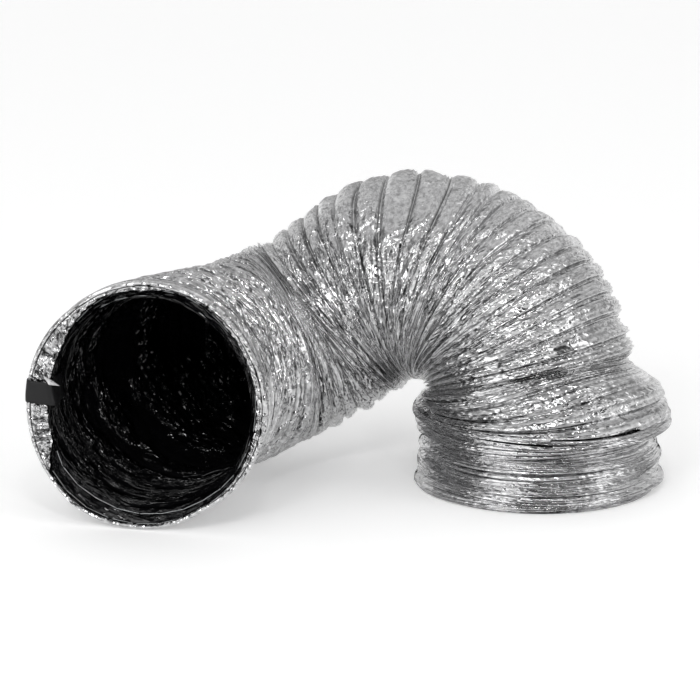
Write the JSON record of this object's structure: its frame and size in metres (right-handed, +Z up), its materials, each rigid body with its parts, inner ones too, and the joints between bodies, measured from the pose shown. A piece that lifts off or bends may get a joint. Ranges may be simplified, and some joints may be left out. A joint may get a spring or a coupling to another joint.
{
  "type": "flexible air duct",
  "caption": "Compressible foil air duct with an inner liner and spring-wire helix, bent into an arch between a packed end and an open mouth",
  "frame": {"origin": "centre of the bounding box on the floor that both ends rest on", "axes": "+Z up, +X from the open mouth towards the packed stack, the mouth faces -Y and a little -X"},
  "size_m": [0.6178, 0.3698, 0.3036],
  "materials": {
    "foil": "crumpled aluminium foil laminate, satin with sharp bright creases",
    "liner": "glossy black coated film, crinkled",
    "wire": "bright spring-steel wire, mostly hidden between the layers",
    "tape": "semi-matt black vinyl tape"
  },
  "bodies": {
    "stack_1": {"outer_foil_stack_1": "foil", "inner_liner_stack_1": "liner", "spring_wire_stack_1": "wire"},
    "stack_2": {"outer_foil_stack_2": "foil", "inner_liner_stack_2": "liner", "spring_wire_stack_2": "wire"},
    "stack_3": {"outer_foil_stack_3": "foil", "inner_liner_stack_3": "liner", "spring_wire_stack_3": "wire"},
    "stack_top": {"outer_foil_stack_top": "foil", "inner_liner_stack_top": "liner", "spring_wire_stack_top": "wire"},
    "arch_1": {"outer_foil_arch_1": "foil", "inner_liner_arch_1": "liner", "spring_wire_arch_1": "wire"},
    "arch_2": {"outer_foil_arch_2": "foil", "inner_liner_arch_2": "liner", "spring_wire_arch_2": "wire"},
    "arch_3": {"outer_foil_arch_3": "foil", "inner_liner_arch_3": "liner", "spring_wire_arch_3": "wire"},
    "arch_4": {"outer_foil_arch_4": "foil", "inner_liner_arch_4": "liner", "spring_wire_arch_4": "wire"},
    "arch_5": {"outer_foil_arch_5": "foil", "inner_liner_arch_5": "liner", "spring_wire_arch_5": "wire"},
    "run_1": {"outer_foil_run_1": "foil", "inner_liner_run_1": "liner", "spring_wire_run_1": "wire"},
    "run_2": {"outer_foil_run_2": "foil", "inner_liner_run_2": "liner", "spring_wire_run_2": "wire"},
    "run_3": {"outer_foil_run_3": "foil", "inner_liner_run_3": "liner", "spring_wire_run_3": "wire"},
    "mouth_1": {"outer_foil_mouth_1": "foil", "inner_liner_mouth_1": "liner", "spring_wire_mouth_1": "wire"},
    "mouth_2": {"outer_foil_mouth_2": "foil", "inner_liner_mouth_2": "liner", "spring_wire_mouth_2": "wire"},
    "mouth_3": {"outer_foil_mouth_3": "foil", "inner_liner_mouth_3": "liner", "spring_wire_mouth_3": "wire"},
    "mouth_4": {"outer_foil_mouth_4": "foil", "inner_liner_mouth_4": "liner", "spring_wire_mouth_4": "wire", "mouth_hem": "foil", "mouth_tape": "tape"}
  },
  "joints": [
    {"name": "stack_pull", "type": "slide", "parent": "stack_1", "child": "stack_2", "axis": [0, 0, 1], "range_m": [0, 0.25]},
    {"name": "stack_pull_2", "type": "slide", "parent": "stack_2", "child": "stack_3", "axis": [0, 0, 1], "range_m": [0, 0.25]},
    {"name": "stack_pull_3", "type": "slide", "parent": "stack_3", "child": "stack_top", "axis": [0, 0, 1], "range_m": [0, 0.25]},
    {"name": "arch_bend", "type": "hinge", "parent": "stack_top", "child": "arch_1", "pos_m": [0.2646, -0.0824, 0.07675], "axis": [0.7071, 0.7071, 0], "range_deg": [0, 8]},
    {"name": "arch_bend_2", "type": "hinge", "parent": "arch_1", "child": "arch_2", "pos_m": [0.25788, -0.05003, 0.14174], "axis": [0.5854, 0.8095, -0.0454], "range_deg": [0, 21.02]},
    {"name": "arch_bend_3", "type": "hinge", "parent": "arch_2", "child": "arch_3", "pos_m": [0.22966, 0.00296, 0.2274], "axis": [0.4115, 0.8973, -0.1599], "range_deg": [0, 25.59]},
    {"name": "arch_bend_4", "type": "hinge", "parent": "arch_3", "child": "arch_4", "pos_m": [0.16653, 0.05552, 0.2816], "axis": [0.304, 0.9185, -0.2531], "range_deg": [0, 31.3]},
    {"name": "arch_bend_5", "type": "hinge", "parent": "arch_4", "child": "arch_5", "pos_m": [0.03921, 0.11217, 0.29307], "axis": [0.313, 0.885, -0.3446], "range_deg": [0, 35.83]},
    {"name": "run_bend", "type": "hinge", "parent": "arch_5", "child": "run_1", "pos_m": [-0.03829, 0.18462, 0.16284], "axis": [0.6578, 0.1352, -0.7409], "range_deg": [0, 20.05]},
    {"name": "run_bend_2", "type": "hinge", "parent": "run_1", "child": "run_2", "pos_m": [-0.0912, 0.14203, 0.05551], "axis": [0.4606, -0.5424, -0.7026], "range_deg": [0, 27.72]},
    {"name": "run_bend_3", "type": "hinge", "parent": "run_2", "child": "run_3", "pos_m": [-0.19066, 0.09679, 0.07408], "axis": [0.3516, -0.2118, -0.9119], "range_deg": [0, 24.23]},
    {"name": "mouth_pull", "type": "slide", "parent": "run_3", "child": "mouth_1", "axis": [-0.3412, -0.9374, 0.0698], "range_m": [0, 0.09]},
    {"name": "mouth_swing_left", "type": "hinge", "parent": "mouth_1", "child": "mouth_2", "pos_m": [-0.28484, -0.05702, 0.11934], "axis": [0, 0, -1], "range_deg": [0, 25]},
    {"name": "mouth_swing_right", "type": "hinge", "parent": "mouth_2", "child": "mouth_3", "pos_m": [-0.06265, -0.12885, 0.11934], "axis": [0, 0, 1], "range_deg": [0, 25]},
    {"name": "mouth_lift", "type": "hinge", "parent": "mouth_3", "child": "mouth_4", "pos_m": [-0.18122, -0.1179, 0.23834], "axis": [-0.9744, 0.225, 0], "range_deg": [0, 25]}
  ],
  "couplings": [
    {"joint": "stack_pull_2", "follows": "stack_pull", "ratio": 1},
    {"joint": "stack_pull_3", "follows": "stack_pull", "ratio": 1},
    {"joint": "arch_bend_2", "follows": "arch_bend", "ratio": 2.626},
    {"joint": "arch_bend_3", "follows": "arch_bend", "ratio": 3.198},
    {"joint": "arch_bend_4", "follows": "arch_bend", "ratio": 3.911},
    {"joint": "arch_bend_5", "follows": "arch_bend", "ratio": 4.478},
    {"joint": "run_bend_2", "follows": "run_bend", "ratio": 1.382},
    {"joint": "run_bend_3", "follows": "run_bend", "ratio": 1.208}
  ]
}
